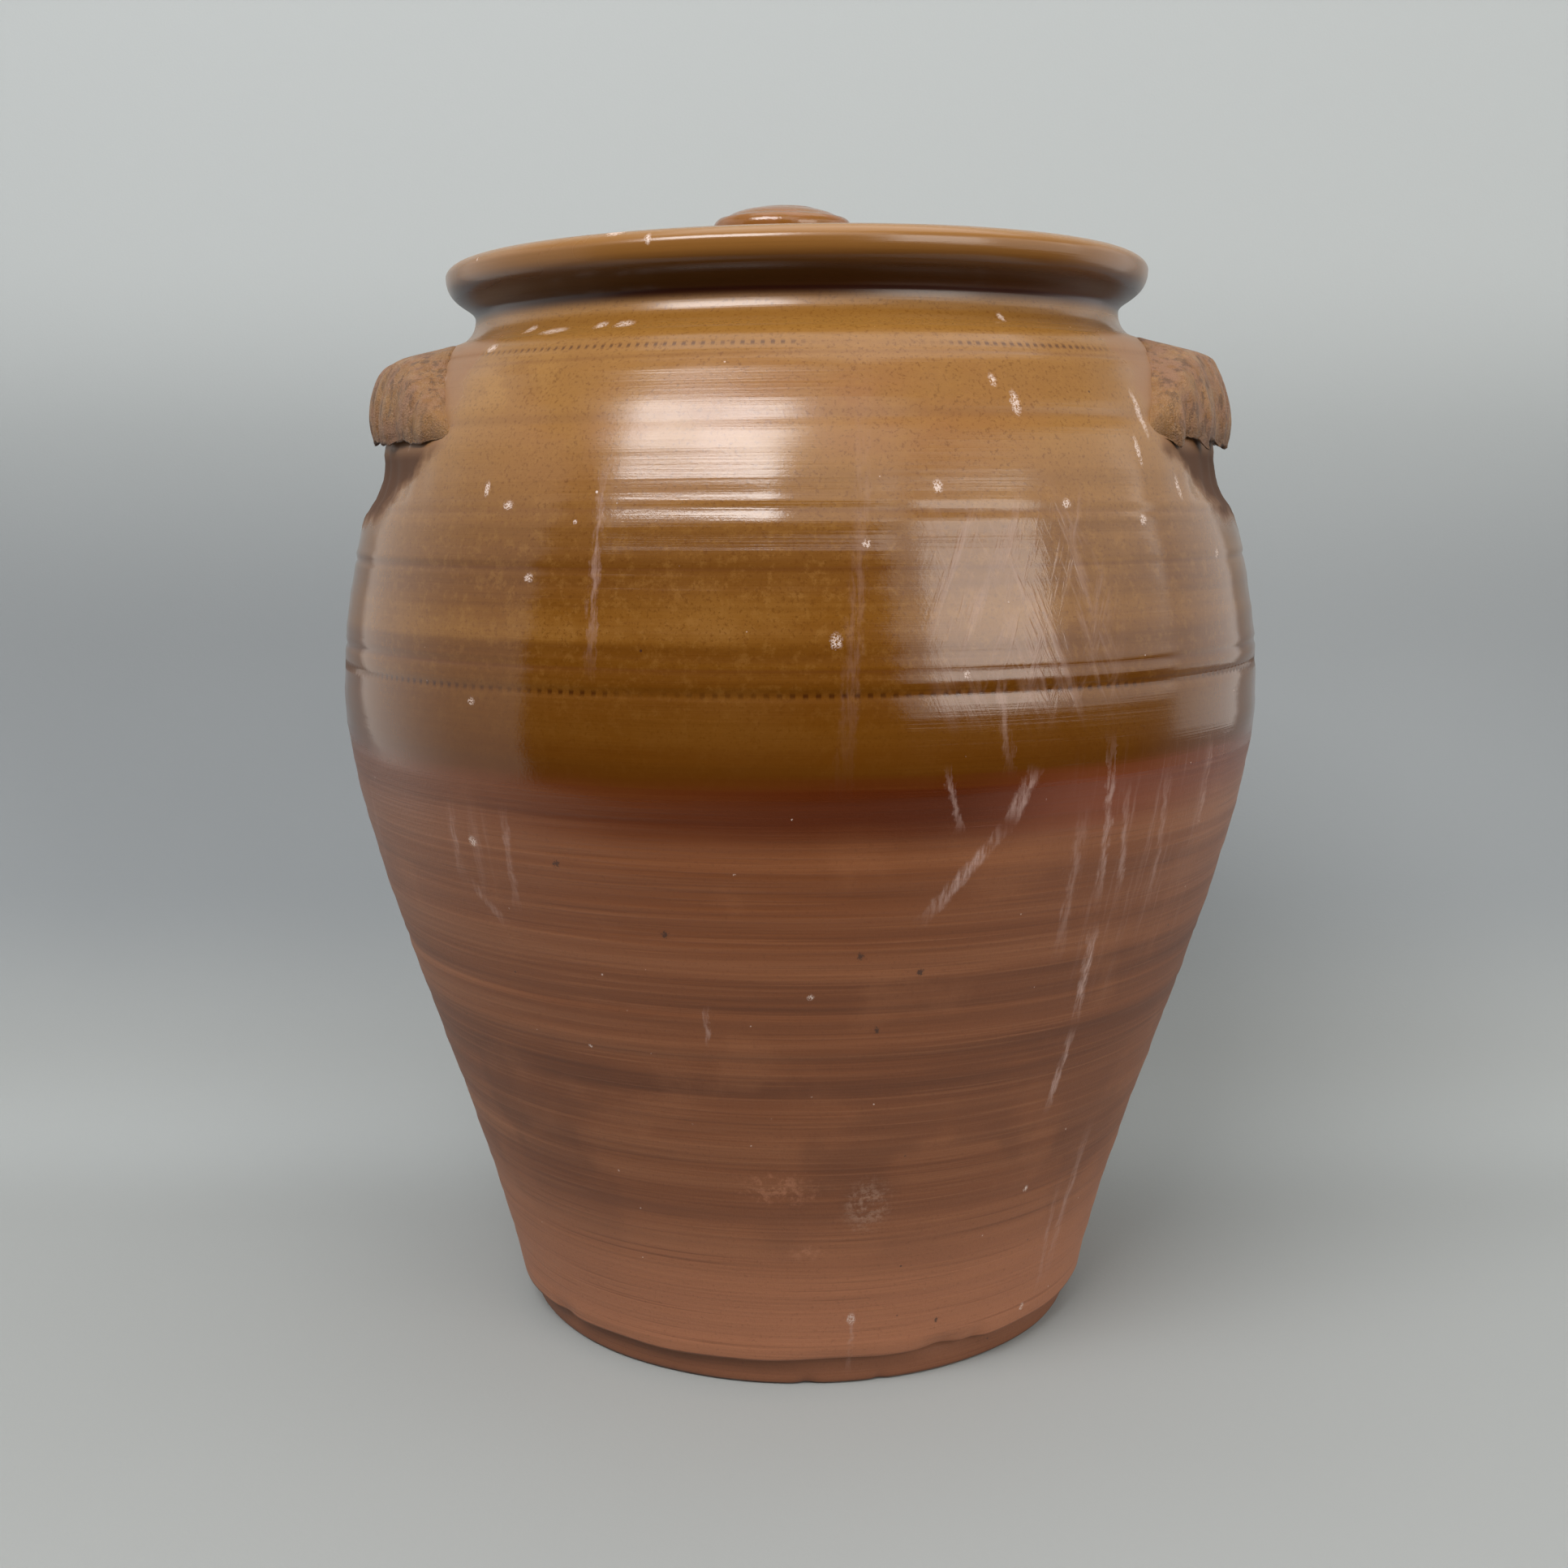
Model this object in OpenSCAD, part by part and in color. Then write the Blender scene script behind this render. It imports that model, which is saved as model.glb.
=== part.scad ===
// Lidded storage jar with two lug handles, thrown in red earthenware.
// Millimetres, +Z up. The origin is the centre of the flat underside.

/* [Body] */
// Radius of the belly, the widest part
belly_r = 165; // [155:1:175]
// Height of the belly's widest ring above the table
belly_h = 228; // [215:1:240]
// Radius of the flat underside
base_r = 100.4; // [94:0.2:104]
// Height of the turned foot band below the ledge
foot_h = 11.2; // [8:0.2:15]
// How far the ledge overhangs the foot band
ledge_out = 4.4; // [3:0.2:7]
// Thickness of the thrown wall
wall = 10; // [8:0.5:12]
// Thickness of the floor
floor_t = 14; // [11:0.5:18]

/* [Neck and rim] */
// Radius of the neck's waist, under the rim
neck_r = 114.8; // [112:0.2:118]
// Height of the neck's waist
neck_h = 359; // [357:0.5:361]
// Outermost radius of the rolled rim
rim_r = 122.2; // [121:0.2:126]
// Height of the rim's outermost ring
rim_h = 373; // [371:0.5:374]
// Radius of the mouth above the lid seat
mouth_r = 104.5; // [103:0.5:106]
// Radius of the throat below the lid seat
throat_r = 92; // [88:0.5:95]
// Height of the seat that the lid rests on
seat_h = 364; // [363:0.5:366]

/* [Lug handles] */
// Half the sweep of a lug around the jar, in degrees
lug_half = 42; // [36:1:44]
// Height of a lug's smeared top edge
lug_top = 348; // [345:0.5:350]
// Height of the lip that the fingers go under
lug_lip = 315; // [311:0.5:318]
// How far a lug stands out from the wall
lug_out = 14; // [11:0.5:16]
// Depth of the finger flutes down its face
flute_depth = 1.3; // [0:0.1:2]
// Spacing of the finger flutes around the jar, in degrees
flute_pitch = 5.6; // [4.5:0.1:8]
// Depth of the finger hollow pressed into the wall under each lug
dent_depth = 3.2; // [1:0.2:4]

/* [Lid] */
// Radius of the lid disc
lid_r = 101.5; // [100:0.5:102]
// Thickness of the lid at its edge
lid_edge_t = 8.5; // [7:0.5:10]
// How far the lid's top rises from edge to centre
lid_rise = 6; // [3:0.5:8]
// How far the loose lid has slipped to one side in the mouth
lid_slip = 1.5; // [0:0.1:2]
// How far the knob sits off the lid's centre
knob_slip = 3.5; // [0:0.5:5]
// Widest radius of the knob
knob_r = 25; // [20:0.5:28]
// Height of the top of the knob above the table
knob_top = 399; // [394:1:404]

/* [Hidden] */

$fn = 120;
glaze_colour = "#8a5a26";
lug_colour = "#94694c";
lid_colour = "#a2693c";

low_steps = 26;
high_steps = 26;
arc_steps = 10;

// Handles of the outside's two Bezier curves, as shares of the height they span
low_start = 0.235;
low_end = 0.240;
high_start = 0.388;
high_end = 0.18;
ledge_lean = 0.19;
shoulder_fall = 14;
neck_fillet = 9.8;
roll_r = 5.2;
lip_r = 4;
rim_top_drop = 1;
seat_fillet = 2;
seat_nose = 3.5;
nose_turn = 250;
throat_turn = 202;

// The foot band's rounded lower edge, its flare, and the ledge's soft edge
foot_edge = 1.2;
foot_flare = 1.8;
ledge_edge = 0.7;

// Share of the lower curve at which the inside leaves it for the floor
inner_corner = 0.14;

// Scored lines: height on the wall and depth
score_half = 1.1;
scores = [[126.5, 0.4], [143.5, 0.5], [240, 0.7], [246, 0.6], [276, 0.6], [337.5, 0.5]];

// Points and directions on a cubic Bezier curve, as [radius, height]
function bez(c, t) = pow(1 - t, 3) * c[0] + 3 * pow(1 - t, 2) * t * c[1]
    + 3 * (1 - t) * t * t * c[2] + pow(t, 3) * c[3];
function bez_dir(c, t) = 3 * pow(1 - t, 2) * (c[1] - c[0]) + 6 * (1 - t) * t * (c[2] - c[1])
    + 3 * t * t * (c[3] - c[2]);
function inward(d) = [-d[1], d[0]] / norm(d);
function arc(centre, r, from, to, steps = arc_steps) =
    [for (i = [0:steps]) centre + r * [cos(from + (to - from) * i / steps), sin(from + (to - from) * i / steps)]];

// The outside: a long curve up to the belly, and a second one over the shoulder
ledge_r = base_r + foot_flare + ledge_out;
neck_centre = [neck_r + neck_fillet, neck_h];
neck_turn = 270 - shoulder_fall;
neck_start = neck_centre + neck_fillet * [cos(neck_turn), sin(neck_turn)];
low_span = belly_h - foot_h;
high_span = neck_start[1] - belly_h;
low_curve = [
    [ledge_r, foot_h],
    [ledge_r + ledge_lean * low_start * low_span, foot_h + low_start * low_span],
    [belly_r, belly_h - low_end * low_span],
    [belly_r, belly_h]
];
high_curve = [
    [belly_r, belly_h],
    [belly_r, belly_h + high_start * high_span],
    neck_start + high_end * high_span * [cos(shoulder_fall), -sin(shoulder_fall)],
    neck_start
];
function low_out(i) = bez(low_curve, i / low_steps);
function high_out(i) = bez(high_curve, i / high_steps);
function low_in(t) = bez(low_curve, t) + wall * inward(bez_dir(low_curve, t));
function high_in(t) = bez(high_curve, t) + wall * inward(bez_dir(high_curve, t));

// Radius of the wall's outside at a height, found by halving the curve
function curve_t(c, h, a = 0, b = 1, n = 16) =
    n == 0 ? (a + b) / 2
    : bez(c, (a + b) / 2)[1] < h ? curve_t(c, h, (a + b) / 2, b, n - 1)
    : curve_t(c, h, a, (a + b) / 2, n - 1);
function wall_r(h) = let (c = h < belly_h ? low_curve : high_curve) bez(c, curve_t(c, h))[0];

// Rolled rim: a rounded lip over a sloping underside that touches both its arcs
roll_centre = [rim_r - roll_r, rim_h];
roll_to_neck = neck_centre - roll_centre;
roll_end = 90 + atan2(roll_to_neck[1], roll_to_neck[0]) - asin((roll_r + neck_fillet) / norm(roll_to_neck));
rim_out = concat(
    arc(neck_centre, neck_fillet, neck_turn, 180 + roll_end),
    arc(roll_centre, roll_r, roll_end, 90)
);
lip_centre = [mouth_r + lip_r, rim_h + roll_r - rim_top_drop - lip_r];
seat_corner = [mouth_r - seat_fillet, seat_h + seat_fillet];
nose_centre = [throat_r + seat_nose, seat_h - seat_nose];
rim_in = concat(
    arc(lip_centre, lip_r, 90, 180),
    arc(seat_corner, seat_fillet, 0, -90, 4),
    arc(nose_centre, seat_nose, 90, nose_turn),
    arc(neck_centre, neck_fillet + wall, throat_turn, neck_turn)
);

// Inside corner where the wall meets the floor
corner_point = low_in(inner_corner);
corner_normal = -inward(bez_dir(low_curve, inner_corner));
corner_r = (corner_point[1] - floor_t) / (1 + corner_normal[1]);
corner_centre = corner_point - corner_r * corner_normal;
corner_end = atan2(corner_normal[1], corner_normal[0]);

module outside_form() {
    rotate_extrude() polygon(concat(
        [[0, 0]],
        foot_points(),
        [for (i = [1:low_steps]) low_out(i)],
        [for (i = [1:high_steps]) high_out(i)],
        [[0, neck_start[1]]]
    ));
}

function foot_points() = [
    [base_r - foot_edge, 0],
    [base_r, foot_edge],
    [base_r + foot_flare, foot_h - 2 * ledge_edge],
    [ledge_r - ledge_edge, foot_h - ledge_edge],
    [ledge_r, foot_h]
];

module jar_profile() {
    polygon(concat(
        [[0, 0]],
        foot_points(),
        [for (i = [1:low_steps]) low_out(i)],
        [for (i = [1:high_steps - 1]) high_out(i)],
        rim_out,
        rim_in,
        [for (i = [1:high_steps - 1]) high_in(1 - i / high_steps)],
        [for (i = [0:low_steps]) low_in(1 - (1 - inner_corner) * i / low_steps)],
        arc(corner_centre, corner_r, corner_end, -90),
        [[0, floor_t]]
    ));
}

// Finger hollow: a ring set off centre cuts the wall deepest under the lug's
// middle and runs out of it at both ends
dent_h = 302;
dent_r = 26;
dent_half = 38;
dent_wall_r = wall_r(dent_h);
dent_out = -inward(bez_dir(high_curve, curve_t(high_curve, dent_h)));
dent_centre = [dent_wall_r, dent_h] + (dent_r - dent_depth) * dent_out;
dent_shift = dent_depth * dent_wall_r / (dent_wall_r * (1 - cos(dent_half)) - dent_depth);

module finger_hollow() {
    translate([-dent_shift, 0, dent_centre[1]]) rotate_extrude()
        translate([dent_centre[0] + dent_shift, 0]) circle(r = dent_r);
}

module score(height, depth) {
    rotate_extrude() translate([wall_r(height) + score_half - depth, height]) circle(r = score_half, $fn = 24);
}

module jar_body() {
    color(glaze_colour) difference() {
        rotate_extrude() jar_profile();
        for (s = scores) score(s[0], s[1]);
        finger_hollow();
        rotate([0, 0, 180]) finger_hollow();
    }
}

// A lug is one roll of clay drawn out from the shoulder and stroked down with
// the fingers. Its section runs from the smeared top edge, over the face and
// round the lip, and back inside the wall above the finger hollow.
lug_steps = 64;
lug_sink = 4;
lug_feather = 1;
lug_flat = 24;
lug_end = 2;
roof_rise = 5;
rise_over = 20;
// Each stop is [share of the drop from top edge to lip, share of the stand-out]
face_stops = [[0, 0], [0.045, 0.28], [0.09, 0.66], [0.13, 0.9], [0.19, 1], [0.28, 1], [0.42, 0.92],
    [0.58, 0.8], [0.75, 0.63], [0.9, 0.44], [1, 0.27]];
// Each stop is [height above the lip, stand-out in mm]
lip_stops = [[-0.4, 2.6], [0.8, 1.9], [3, 1.5]];
// Clay drawn down by each finger: [degrees round from the lug's middle, width, drop in mm]
left_lobes = [[0, 22, -2.5], [36, 2.5, 2.5], [25, 3, 1.5], [12, 3, 1.5], [-1, 3, 1], [-14, 3, 1.5], [-27, 3, 1.5]];
right_lobes = [[-39.5, 1.5, 3.5], [-36.5, 1.4, 8], [-29, 1.6, 4], [-21, 2.5, 2.5], [-9, 3, 2], [4, 2.5, 2.5],
    [16, 3, 1.5], [28, 2.5, 2.5]];

function swell(u) = pow(1 - pow(abs(u), 5), 0.8);
function fall_off(a) = pow(max(0, (abs(a) - lug_flat) / (lug_half - lug_flat)), 1.6);
function flute(a, h) = 0.5 + 0.5 * cos(360 * (a + 0.06 * (h - lug_lip)) / flute_pitch);
function drop_at(a, lobes, i = 0) = i == len(lobes) ? 0
    : lobes[i][2] * exp(-pow((a - lobes[i][0]) / lobes[i][1], 2)) + drop_at(a, lobes, i + 1);
function out_at(h, stand, w) = wall_r(h) - lug_feather + w * (stand + lug_feather);

function lug_section(u, lobes) = let (
    a = u * lug_half,
    w = swell(u),
    lip = lug_lip - drop_at(a, lobes) * w,
    top = lug_top - (lug_top - lug_lip - lug_end) * fall_off(a),
    rise = min(1, (top - lip) / rise_over),
    roof = lip + roof_rise * rise
) concat(
    [[wall_r(top) - lug_sink, top]],
    [for (f = face_stops) let (
        h = top - f[0] * (top - lip),
        groove = flute_depth * flute(a, h) * min(1, 4 * f[0]) * w
    ) [out_at(h, lug_out * f[1], w) - groove, h]],
    [for (s = lip_stops) let (h = lip + s[0] * rise) [out_at(h, s[1], w), h]],
    [[wall_r(roof) - lug_sink, roof]]
);

module lug(lobes) {
    rings = [for (i = [-lug_steps:2:lug_steps]) let (
        u = i / lug_steps,
        a = u * lug_half
    ) [for (p = lug_section(u, lobes)) [p[0] * cos(a), p[0] * sin(a), p[1]]]];
    n = len(rings[0]);
    last = len(rings) - 1;
    points = [for (ring = rings) each ring];
    sides = [for (i = [0:last - 1], j = [0:n - 1]) let (
        a = i * n + j,
        b = i * n + (j + 1) % n
    ) each [[a, a + n, b], [b, a + n, b + n]]];
    ends = [[for (j = [0:n - 1]) j], [for (j = [n - 1:-1:0]) last * n + j]];
    difference() {
        polyhedron(points, concat(sides, ends), convexity = 6);
        outside_form();
    }
}

module left_handle() {
    color(lug_colour) rotate([0, 0, 180]) lug(left_lobes);
}

module right_handle() {
    color(lug_colour) lug(right_lobes);
}

// Lid: a thrown disc with a soft edge, a low dome and a hollowed underside
lid_edge = 4;
lid_heel = 1.5;
lid_hollow = 3;
hollow_r = 86;
hollow_slope = 6;
knob_pad = 19;
crown = seat_h + lid_edge_t + lid_rise;

module lid() {
    dome_r = lid_r - lid_edge;
    color(lid_colour) translate([-lid_slip, 0, 0]) rotate_extrude() polygon(concat(
        [[0, seat_h + lid_hollow], [hollow_r - hollow_slope, seat_h + lid_hollow], [hollow_r, seat_h]],
        arc([lid_r - lid_heel, seat_h + lid_heel], lid_heel, -90, 0, 4),
        arc([dome_r, seat_h + lid_edge_t - lid_edge], lid_edge, 0, 80),
        [for (i = [1:arc_steps]) let (r = dome_r * (1 - i / arc_steps))
            if (r > knob_pad) [r, crown - lid_rise * pow((r - knob_pad) / (dome_r - knob_pad), 2)]],
        [[knob_pad, crown], [0, crown]]
    ));
}

// Knob: a waisted stem under a flattened button
stem_share = 0.6;
stem_flare = 1.5;
waist_r = 4.2;
waist_share = 0.25;
waist_depth = 0.3;
brim_share = 0.61;
brim_r = 3.8;
button_drop = 2.9;

module lid_knob() {
    tall = knob_top - crown;
    stem_r = stem_share * knob_r;
    button_r = knob_r - brim_r;
    color(lid_colour) translate([-lid_slip - knob_slip, 0, 0]) rotate_extrude() polygon(concat(
        [[0, crown], [stem_r + stem_flare, crown]],
        arc([stem_r + waist_r + waist_depth, crown + waist_share * tall], waist_r, 230, 160, 6),
        arc([button_r, crown + brim_share * tall], brim_r, -60, 60, 8),
        [for (i = [1:6]) let (r = button_r * (1 - i / 7)) [r, knob_top - button_drop * pow(r / button_r, 2)]],
        [[0, knob_top]]
    ));
}

jar_body();
left_handle();
right_handle();
lid();
lid_knob();
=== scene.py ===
"""A lidded earthenware storage jar with two lug handles: its looks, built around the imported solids."""
import math

import bpy
import numpy as np
from mathutils import Euler, Matrix, Vector


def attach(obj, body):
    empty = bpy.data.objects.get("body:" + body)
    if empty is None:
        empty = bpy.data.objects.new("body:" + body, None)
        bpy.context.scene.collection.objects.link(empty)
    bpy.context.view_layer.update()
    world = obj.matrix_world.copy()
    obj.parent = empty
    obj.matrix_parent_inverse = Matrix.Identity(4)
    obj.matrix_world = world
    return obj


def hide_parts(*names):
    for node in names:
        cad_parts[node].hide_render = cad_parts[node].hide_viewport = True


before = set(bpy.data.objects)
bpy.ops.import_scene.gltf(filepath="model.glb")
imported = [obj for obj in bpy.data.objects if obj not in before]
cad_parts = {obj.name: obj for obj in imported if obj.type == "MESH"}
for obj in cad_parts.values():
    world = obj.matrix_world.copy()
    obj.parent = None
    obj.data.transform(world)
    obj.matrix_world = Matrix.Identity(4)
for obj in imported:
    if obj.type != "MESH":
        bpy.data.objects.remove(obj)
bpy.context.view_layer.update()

MM = 0.001
TAU = 2 * math.pi

# Sizes in millimetres, as in the solids
BASE_R, FOOT_H, LEDGE_R = 100.4, 11.2, 106.6
BELLY_R, BELLY_H, WALL, FLOOR_T = 165.0, 228.0, 10.0, 14.0
NECK_R, NECK_H, NECK_FILLET, SHOULDER_FALL = 114.8, 359.0, 9.8, 14.0
RIM_R, RIM_H, ROLL_R, MOUTH_R, THROAT_R, SEAT_H = 122.2, 373.0, 5.2, 104.5, 92.0, 364.0
LOW_START, LOW_END, LEDGE_LEAN = 0.235, 0.240, 0.19
HIGH_START, HIGH_END = 0.388, 0.18
LID_R, LID_EDGE_T, LID_RISE, LID_SLIP = 101.5, 8.5, 6.0, 1.5
KNOB_SLIP, KNOB_R, KNOB_TOP = 3.5, 25.0, 399.0
LUG_HALF, LUG_TOP, LUG_LIP, LUG_OUT, LUG_FLAT = 42.0, 348.0, 315.0, 14.0, 24.0
ROLL_WIDE_R, ROLL_WIDE_H, ROLL_TOP_R, ROLL_UNDER = 125.0, 373.4, 116.2, 4.9
DENT_H, DENT_R, DENT_HALF, DENT_DEPTH = 302.0, 26.0, 38.0, 3.2

# How much the whole surface is held inside the solids, so that ripples never pass them
SKIN_IN = 0.55
# The rim isn't level: its rise per mm towards the right-hand lug and away from the viewer, and its shift in mm
RIM_TILT, RIM_LEAN, RIM_SHIFT = 0.0075, 0.020, -0.7
# Heights between which the lean comes in
LEAN_OVER = (296.0, 358.0)


# The camera stands where the photograph's lens was

CAMERA_AT = (0.0, -0.6634, 0.2932)
CAMERA_PITCH, CAMERA_YAW, CAMERA_ROLL = 8.85, 0.496, -0.2
FOCAL_PX, FRAME_PX, SENSOR_MM = 2200.6, 1932.0, 36.0


def make_camera():
    data = bpy.data.cameras.new("camera")
    data.sensor_width = SENSOR_MM
    data.lens = FOCAL_PX / FRAME_PX * SENSOR_MM
    data.clip_start = 0.02
    cam = bpy.data.objects.new("camera", data)
    turn = (
        Matrix.Rotation(math.radians(CAMERA_YAW), 4, "Z")
        @ Matrix.Rotation(math.radians(90 - CAMERA_PITCH), 4, "X")
        @ Matrix.Rotation(math.radians(CAMERA_ROLL), 4, "Z")
    )
    cam.matrix_world = Matrix.Translation(CAMERA_AT) @ turn
    bpy.context.scene.collection.objects.link(cam)
    bpy.context.scene.camera = cam


# Profiles


def bezier(points, t):
    p = np.array(points, float)
    t = np.asarray(t, float)[:, None]
    return (1 - t) ** 3 * p[0] + 3 * (1 - t) ** 2 * t * p[1] + 3 * (1 - t) * t * t * p[2] + t ** 3 * p[3]


def bezier_in(points, t, depth):
    """The curve moved into the wall by depth."""
    p = np.array(points, float)
    s = np.asarray(t, float)[:, None]
    d = (1 - s) ** 2 * (p[1] - p[0]) + 2 * (1 - s) * s * (p[2] - p[1]) + s * s * (p[3] - p[2])
    n = np.stack([-d[:, 1], d[:, 0]], 1) / np.linalg.norm(d, axis=1)[:, None]
    return bezier(points, t) + depth * n


def arc(centre, r, start, end, steps):
    a = np.radians(np.linspace(start, end, steps + 1))
    return np.array(centre, float) + r * np.stack([np.cos(a), np.sin(a)], 1)


NECK_CENTRE = np.array([NECK_R + NECK_FILLET, NECK_H])
NECK_TURN = 270 - SHOULDER_FALL
FALL = math.radians(SHOULDER_FALL)
NECK_START = NECK_CENTRE - NECK_FILLET * np.array([math.sin(FALL), math.cos(FALL)])
LOW_SPAN = BELLY_H - FOOT_H
HIGH_SPAN = NECK_START[1] - BELLY_H
LOW_CURVE = [
    (LEDGE_R, FOOT_H),
    (LEDGE_R + LEDGE_LEAN * LOW_START * LOW_SPAN, FOOT_H + LOW_START * LOW_SPAN),
    (BELLY_R, BELLY_H - LOW_END * LOW_SPAN),
    (BELLY_R, BELLY_H),
]
HIGH_CURVE = [
    (BELLY_R, BELLY_H),
    (BELLY_R, BELLY_H + HIGH_START * HIGH_SPAN),
    tuple(NECK_START + HIGH_END * HIGH_SPAN * np.array([math.cos(FALL), -math.sin(FALL)])),
    tuple(NECK_START),
]
_wall = np.vstack([bezier(LOW_CURVE, np.linspace(0, 1, 400)), bezier(HIGH_CURVE, np.linspace(0, 1, 400))])


def wall_r(h):
    """Radius of the wall's outside at a height."""
    return np.interp(h, _wall[:, 1], _wall[:, 0])


# The hollow pressed under each lug by the fingers: a ring set off centre, as in the solids
_at = int(np.argmin(np.abs(_wall[:, 1] - DENT_H)))
_run = _wall[_at + 1] - _wall[_at - 1]
_out = np.array([_run[1], -_run[0]]) / np.linalg.norm(_run)
DENT_CENTRE = _wall[_at] + (DENT_R - DENT_DEPTH) * _out
DENT_SHIFT = DENT_DEPTH * _wall[_at][0] / (_wall[_at][0] * (1 - math.cos(math.radians(DENT_HALF))) - DENT_DEPTH)


def dent(r, h, az):
    """How far the finger hollows lower the wall, in mm."""
    x, y = np.abs(r * np.sin(az)), r * np.cos(az)
    reach = np.hypot(x + DENT_SHIFT, y)
    tube = np.sqrt(np.clip(DENT_R ** 2 - (h - DENT_CENTRE[1]) ** 2, 0, None))
    deep = reach - (DENT_CENTRE[0] + DENT_SHIFT - tube)
    deep = np.where(np.abs(h - DENT_CENTRE[1]) < DENT_R, deep, -50.0)
    deep = 0.5 * (deep + np.sqrt(deep ** 2 + 0.8)) * (deep > -6)
    turn = np.degrees(np.arctan2(y, x))
    fingers = 0.5 + 0.5 * np.cos(TAU * (turn + 0.12 * (h - 300)) / 5.6)
    return deep + 0.45 * fingers * np.clip(deep, 0, 1.5)


def heights(start, end, fine):
    """Heights for the mesh's rings, closer together around the scored lines."""
    out = [start]
    while out[-1] < end:
        near = any(abs(out[-1] - h) < 5 for h, _, _ in SCORES)
        out.append(out[-1] + (0.42 * fine if near else fine))
    out[-1] = end
    return np.array(out)


# Scored lines round the wall: height, depth and half width
SCORES = [
    (126.5, 0.35, 1.4), (143.5, 0.4, 1.2), (239.8, 0.2, 1.6), (246.5, 0.55, 0.9), (276.0, 0.5, 0.9),
    (291.6, 0.35, 1.2), (320.5, 0.30, 2.6), (339.2, 0.35, 1.0), (342.5, 0.2, 1.2),
]
ROULETTE = [(239.8, 0.8, 1.1), (342.5, 0.45, 0.9)]
NOTCHES = 280


def surface_offset(h, az):
    """How far the thrown outside departs from its smooth profile, in mm."""
    spiral = (
        0.16 * np.sin(TAU * h / 11.5 - az)
        + 0.09 * np.sin(TAU * h / 6.7 - 2 * az + 1.3)
        + 0.20 * np.sin(TAU * h / 31 + 0.8 * np.sin(az + 0.6) + 0.5)
        + 0.05 * np.sin(TAU * h / 4.1 - 3 * az)
    )
    swing = 0.22 * np.sin(2 * az + 0.7) + 0.12 * np.sin(3 * az + h * 0.02)
    out = 0.55 * spiral + swing * np.clip(h / 120, 0, 1)
    for at, depth, half in SCORES:
        line = at + 0.7 * np.sin(az + at) + 0.25 * np.sin(3 * az + at * 0.5)
        strength = 0.65 + 0.35 * np.sin(az * 2 + at * 1.7)
        out = out - depth * strength * np.exp(-(((h - line) / half) ** 2))
        out = out + 0.35 * depth * strength * np.exp(-(((h - line - 2.1 * half) / half) ** 2))
    for at, depth, half in ROULETTE:
        line = at + 0.5 * np.sin(az + at)
        notch = 0.5 - 0.5 * np.cos(NOTCHES * az)
        out = out - depth * notch * np.exp(-(((h - line) / half) ** 2))
    return out


def ledge_wear(h, az):
    """Chips and waves along the ledge above the foot band: radial and vertical moves, in mm."""
    near = np.exp(-(((h - FOOT_H) / 3.2) ** 2))
    wave = 0.5 * np.sin(3 * az + 1.1) + 0.35 * np.sin(7 * az + 0.4) + 0.2 * np.sin(17 * az)
    chip = np.zeros_like(az)
    for at, wide, deep in [(0.48, 0.07, 1.6), (0.60, 0.04, 1.1), (-0.9, 0.05, 1.0), (2.2, 0.08, 1.5), (-2.6, 0.05, 1.2)]:
        chip = chip + deep * np.exp(-(((az - at) / wide) ** 2))
    return -near * (0.4 + chip + 0.25 * wave), near * (wave + 0.5 * chip)


def base_wear(h, az):
    """Small nicks on the lowest edge of the foot, in mm, inwards only."""
    near = np.exp(-((h / 1.8) ** 2))
    nick = np.zeros_like(az)
    for at, wide, deep in [(0.02, 0.03, 1.2), (0.27, 0.02, 0.9), (1.9, 0.03, 1.3), (-1.4, 0.03, 1.0)]:
        nick = nick + deep * np.exp(-(((az - at) / wide) ** 2))
    return -near * (nick + 0.15 + 0.1 * np.sin(11 * az))


# Meshes


def mesh_object(name, verts, faces, body, replaced, material, smooth=True):
    mesh = bpy.data.meshes.new(name)
    mesh.from_pydata(np.asarray(verts, float).tolist(), [], faces)
    mesh.validate()
    mesh.polygons.foreach_set("use_smooth", [smooth] * len(mesh.polygons))
    mesh.materials.append(material)
    obj = bpy.data.objects.new(name, mesh)
    bpy.context.scene.collection.objects.link(obj)
    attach(obj, body)
    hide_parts(replaced)
    return obj


def lathe(profile, columns, shape=None, centre=(0.0, 0.0)):
    """Vertices in metres and faces of a closed turned form. The profile runs from pole to pole."""
    prof = np.asarray(profile, float)
    az = np.linspace(0, TAU, columns, endpoint=False)
    rings = prof[1:-1]
    r = np.repeat(rings[:, 0][:, None], columns, 1)
    h = np.repeat(rings[:, 1][:, None], columns, 1)
    a = np.repeat(az[None, :], len(rings), 0)
    if shape:
        r, h = shape(r, h, a, np.arange(len(rings))[:, None] + 0 * a)
    x = centre[0] + r * np.sin(a)
    y = centre[1] - r * np.cos(a)
    verts = np.stack([x, y, h], -1).reshape(-1, 3)
    poles = np.array([[centre[0], centre[1], prof[0, 1]], [centre[0], centre[1], prof[-1, 1]]])
    verts = np.vstack([verts, poles])
    n = len(rings)
    faces = []
    for i in range(n - 1):
        for j in range(columns):
            k = (j + 1) % columns
            faces.append((i * columns + j, i * columns + k, (i + 1) * columns + k, (i + 1) * columns + j))
    for j in range(columns):
        k = (j + 1) % columns
        faces.append((n * columns, k, j))
        faces.append(((n - 1) * columns + j, (n - 1) * columns + k, n * columns + 1))
    return verts, faces


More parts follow.
